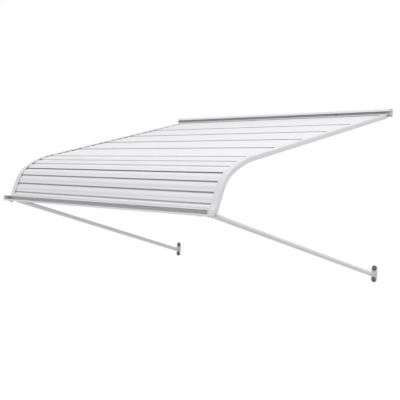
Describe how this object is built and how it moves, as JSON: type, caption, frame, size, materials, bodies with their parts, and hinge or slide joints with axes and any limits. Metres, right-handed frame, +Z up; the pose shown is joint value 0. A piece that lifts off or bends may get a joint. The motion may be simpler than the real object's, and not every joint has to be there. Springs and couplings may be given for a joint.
{
  "type": "aluminum door canopy",
  "caption": "Fixed aluminum door canopy: interlocking roof pans and front slats in two bent side rails, wall header, open front bar and two hinged support arms with wall feet.",
  "frame": {"origin": "middle of the header rail's back face, on the wall plane", "axes": "+X along the width to the right as seen from in front of the wall, +Y into the wall (the canopy stands out towards -Y), +Z up"},
  "size_m": [1.3468, 1.0981, 0.763],
  "materials": {
    "pan_enamel": "white baked enamel on sheet, satin",
    "rail_enamel": "white baked enamel on extrusion, satin",
    "arm_enamel": "light grey enamel, satin",
    "cap_grey": "moulded grey plastic, matt",
    "plug_white": "moulded white plastic, matt",
    "zinc_grey": "zinc plated pressed steel, dull",
    "washer_dark": "dark sealing washer, matt",
    "fastener_steel": "zinc plated steel"
  },
  "bodies": {
    "canopy": {"header_rail": "rail_enamel", "header_cap_left": "cap_grey", "header_cap_right": "cap_grey", "roof_pan_1": "pan_enamel", "roof_pan_2": "pan_enamel", "roof_pan_3": "pan_enamel", "roof_pan_4": "pan_enamel", "roof_pan_5": "pan_enamel", "eave_pan": "pan_enamel", "front_slat_1": "pan_enamel", "front_slat_2": "pan_enamel", "front_slat_3": "pan_enamel", "front_slat_4": "pan_enamel", "front_slat_5": "pan_enamel", "front_slat_6": "pan_enamel", "side_rail_left": "rail_enamel", "side_rail_right": "rail_enamel", "corner_key_left": "rail_enamel", "corner_key_right": "rail_enamel", "key_rivet_left": "fastener_steel", "key_rivet_right": "fastener_steel", "front_bar": "rail_enamel", "bar_plug_left": "plug_white", "bar_plug_right": "plug_white", "bar_strap_left": "rail_enamel", "bar_strap_right": "rail_enamel", "bar_screw_left": "fastener_steel", "bar_screw_right": "fastener_steel", "arm_bolt_left": "fastener_steel", "arm_bolt_right": "fastener_steel", "arm_spacer_left": "arm_enamel", "arm_spacer_right": "arm_enamel", "arm_washer_left": "fastener_steel", "arm_washer_right": "fastener_steel", "arm_nut_left": "fastener_steel", "arm_nut_right": "fastener_steel"},
    "arm_left": {"arm_tube_left": "arm_enamel", "arm_front_end_left": "arm_enamel", "arm_rear_end_left": "arm_enamel"},
    "arm_right": {"arm_tube_right": "arm_enamel", "arm_front_end_right": "arm_enamel", "arm_rear_end_right": "arm_enamel"},
    "foot_left": {"wall_foot_left": "zinc_grey", "foot_pin_left": "fastener_steel", "foot_washer_upper_left": "washer_dark", "foot_washer_lower_left": "washer_dark", "foot_screw_upper_left": "fastener_steel", "foot_screw_lower_left": "fastener_steel"},
    "foot_right": {"wall_foot_right": "zinc_grey", "foot_pin_right": "fastener_steel", "foot_washer_upper_right": "washer_dark", "foot_washer_lower_right": "washer_dark", "foot_screw_upper_right": "fastener_steel", "foot_screw_lower_right": "fastener_steel"}
  },
  "joints": [
    {"name": "arm_left_hinge", "type": "hinge", "parent": "canopy", "child": "arm_left", "pos_m": [-0.629, -1.05862, -0.47513], "axis": [1, 0, 0], "range_deg": [-77, 30]},
    {"name": "arm_right_hinge", "type": "hinge", "parent": "canopy", "child": "arm_right", "pos_m": [0.629, -1.05862, -0.47513], "axis": [1, 0, 0], "range_deg": [-77, 30]},
    {"name": "foot_left_hinge", "type": "hinge", "parent": "arm_left", "child": "foot_left", "pos_m": [-0.629, -0.027, -0.709], "axis": [1, 0, 0], "range_deg": [-75, 75]},
    {"name": "foot_right_hinge", "type": "hinge", "parent": "arm_right", "child": "foot_right", "pos_m": [0.629, -0.027, -0.709], "axis": [1, 0, 0], "range_deg": [-75, 75]}
  ]
}
